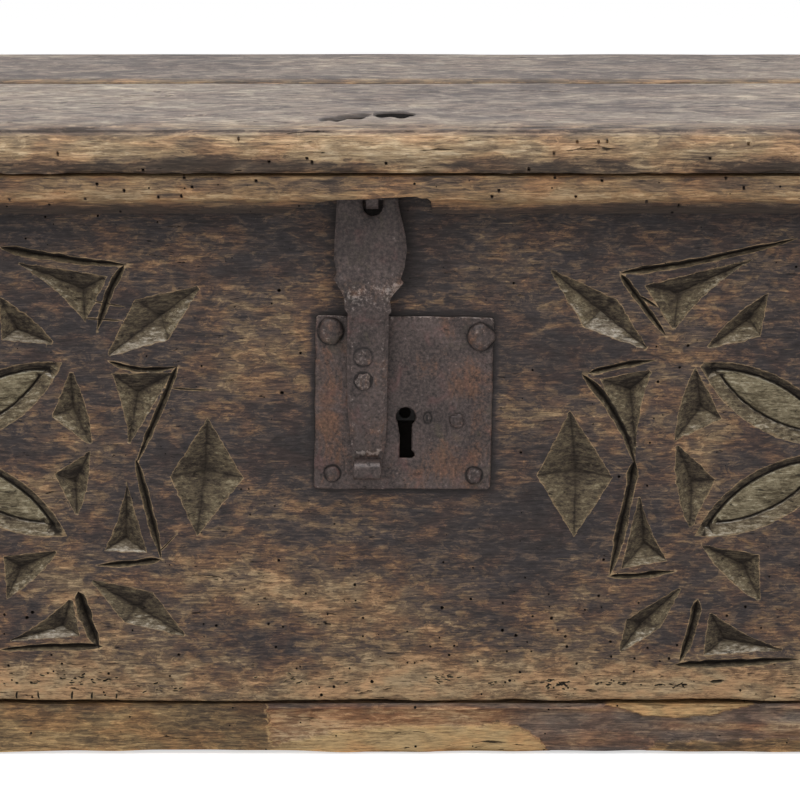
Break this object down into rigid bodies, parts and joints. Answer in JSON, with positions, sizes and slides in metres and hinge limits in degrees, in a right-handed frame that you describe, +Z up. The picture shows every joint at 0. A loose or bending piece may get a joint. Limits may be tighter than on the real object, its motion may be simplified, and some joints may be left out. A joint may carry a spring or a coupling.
{
  "type": "coffer chest",
  "caption": "Six-board wooden coffer with a chip-carved front, two-board overhanging lid with mouldings, wire hinges, iron box lock and drop hasp.",
  "frame": {"origin": "centre of the underside of the case, on the floor", "axes": "+X along the chest to the right seen from the front, -Y out of the carved front, +Z up"},
  "size_m": [1.354, 0.508, 0.4845],
  "materials": {
    "front_wood": "dark waxed patina, worn to golden brown",
    "case_wood": "dark worn walnut",
    "bottom_wood": "worn bare walnut",
    "lid_wood": "dry grey-brown worn walnut",
    "moulding_wood": "worn golden walnut",
    "dowel_wood": "raw wood",
    "plate_iron": "dark iron with rust",
    "hasp_iron": "dark wrought iron, rubbed bright on the neck",
    "nail_iron": "dark wrought iron",
    "wire_iron": "dark wrought iron wire",
    "lock_iron": "dark greased iron"
  },
  "bodies": {
    "case": {"front_board": "front_wood", "back_board": "case_wood", "end_board_left": "case_wood", "end_board_right": "case_wood", "bottom_board_front": "bottom_wood", "bottom_board_back": "bottom_wood", "bottom_nails": "nail_iron", "lock_plate": "plate_iron", "plate_nails_upper": "nail_iron", "plate_nails_lower": "nail_iron", "bolt_guide_left": "lock_iron", "bolt_guide_right": "lock_iron", "bolt_spring": "lock_iron", "key_bridge": "lock_iron", "collar_ward": "lock_iron", "bridge_rivet": "nail_iron", "hinge_case_pin_left": "wire_iron", "hinge_case_pin_right": "wire_iron"},
    "lid": {"lid_board_front": "lid_wood", "lid_board_back": "lid_wood", "lid_dowels": "dowel_wood", "front_moulding": "moulding_wood", "side_moulding_left": "moulding_wood", "side_moulding_right": "moulding_wood", "moulding_nails": "nail_iron", "hinge_lid_pin_left": "wire_iron", "hinge_lid_pin_right": "wire_iron", "hasp_pin": "wire_iron"},
    "hasp": {"hasp_strap": "hasp_iron", "hasp_loop": "hasp_iron"},
    "bolt": {"lock_bolt": "lock_iron"}
  },
  "joints": [
    {"name": "lid_hinge", "type": "hinge", "parent": "case", "child": "lid", "pos_m": [0, 0.23955, 0.4391], "axis": [-1, 0, 0], "range_deg": [0, 105]},
    {"name": "hasp_hinge", "type": "hinge", "parent": "lid", "child": "hasp", "pos_m": [-0.0057, -0.235, 0.43], "axis": [-1, 0, 0], "range_deg": [0, 50]},
    {"name": "bolt_slide", "type": "slide", "parent": "case", "child": "bolt", "axis": [-1, 0, 0], "range_m": [0, 0.018]}
  ]
}
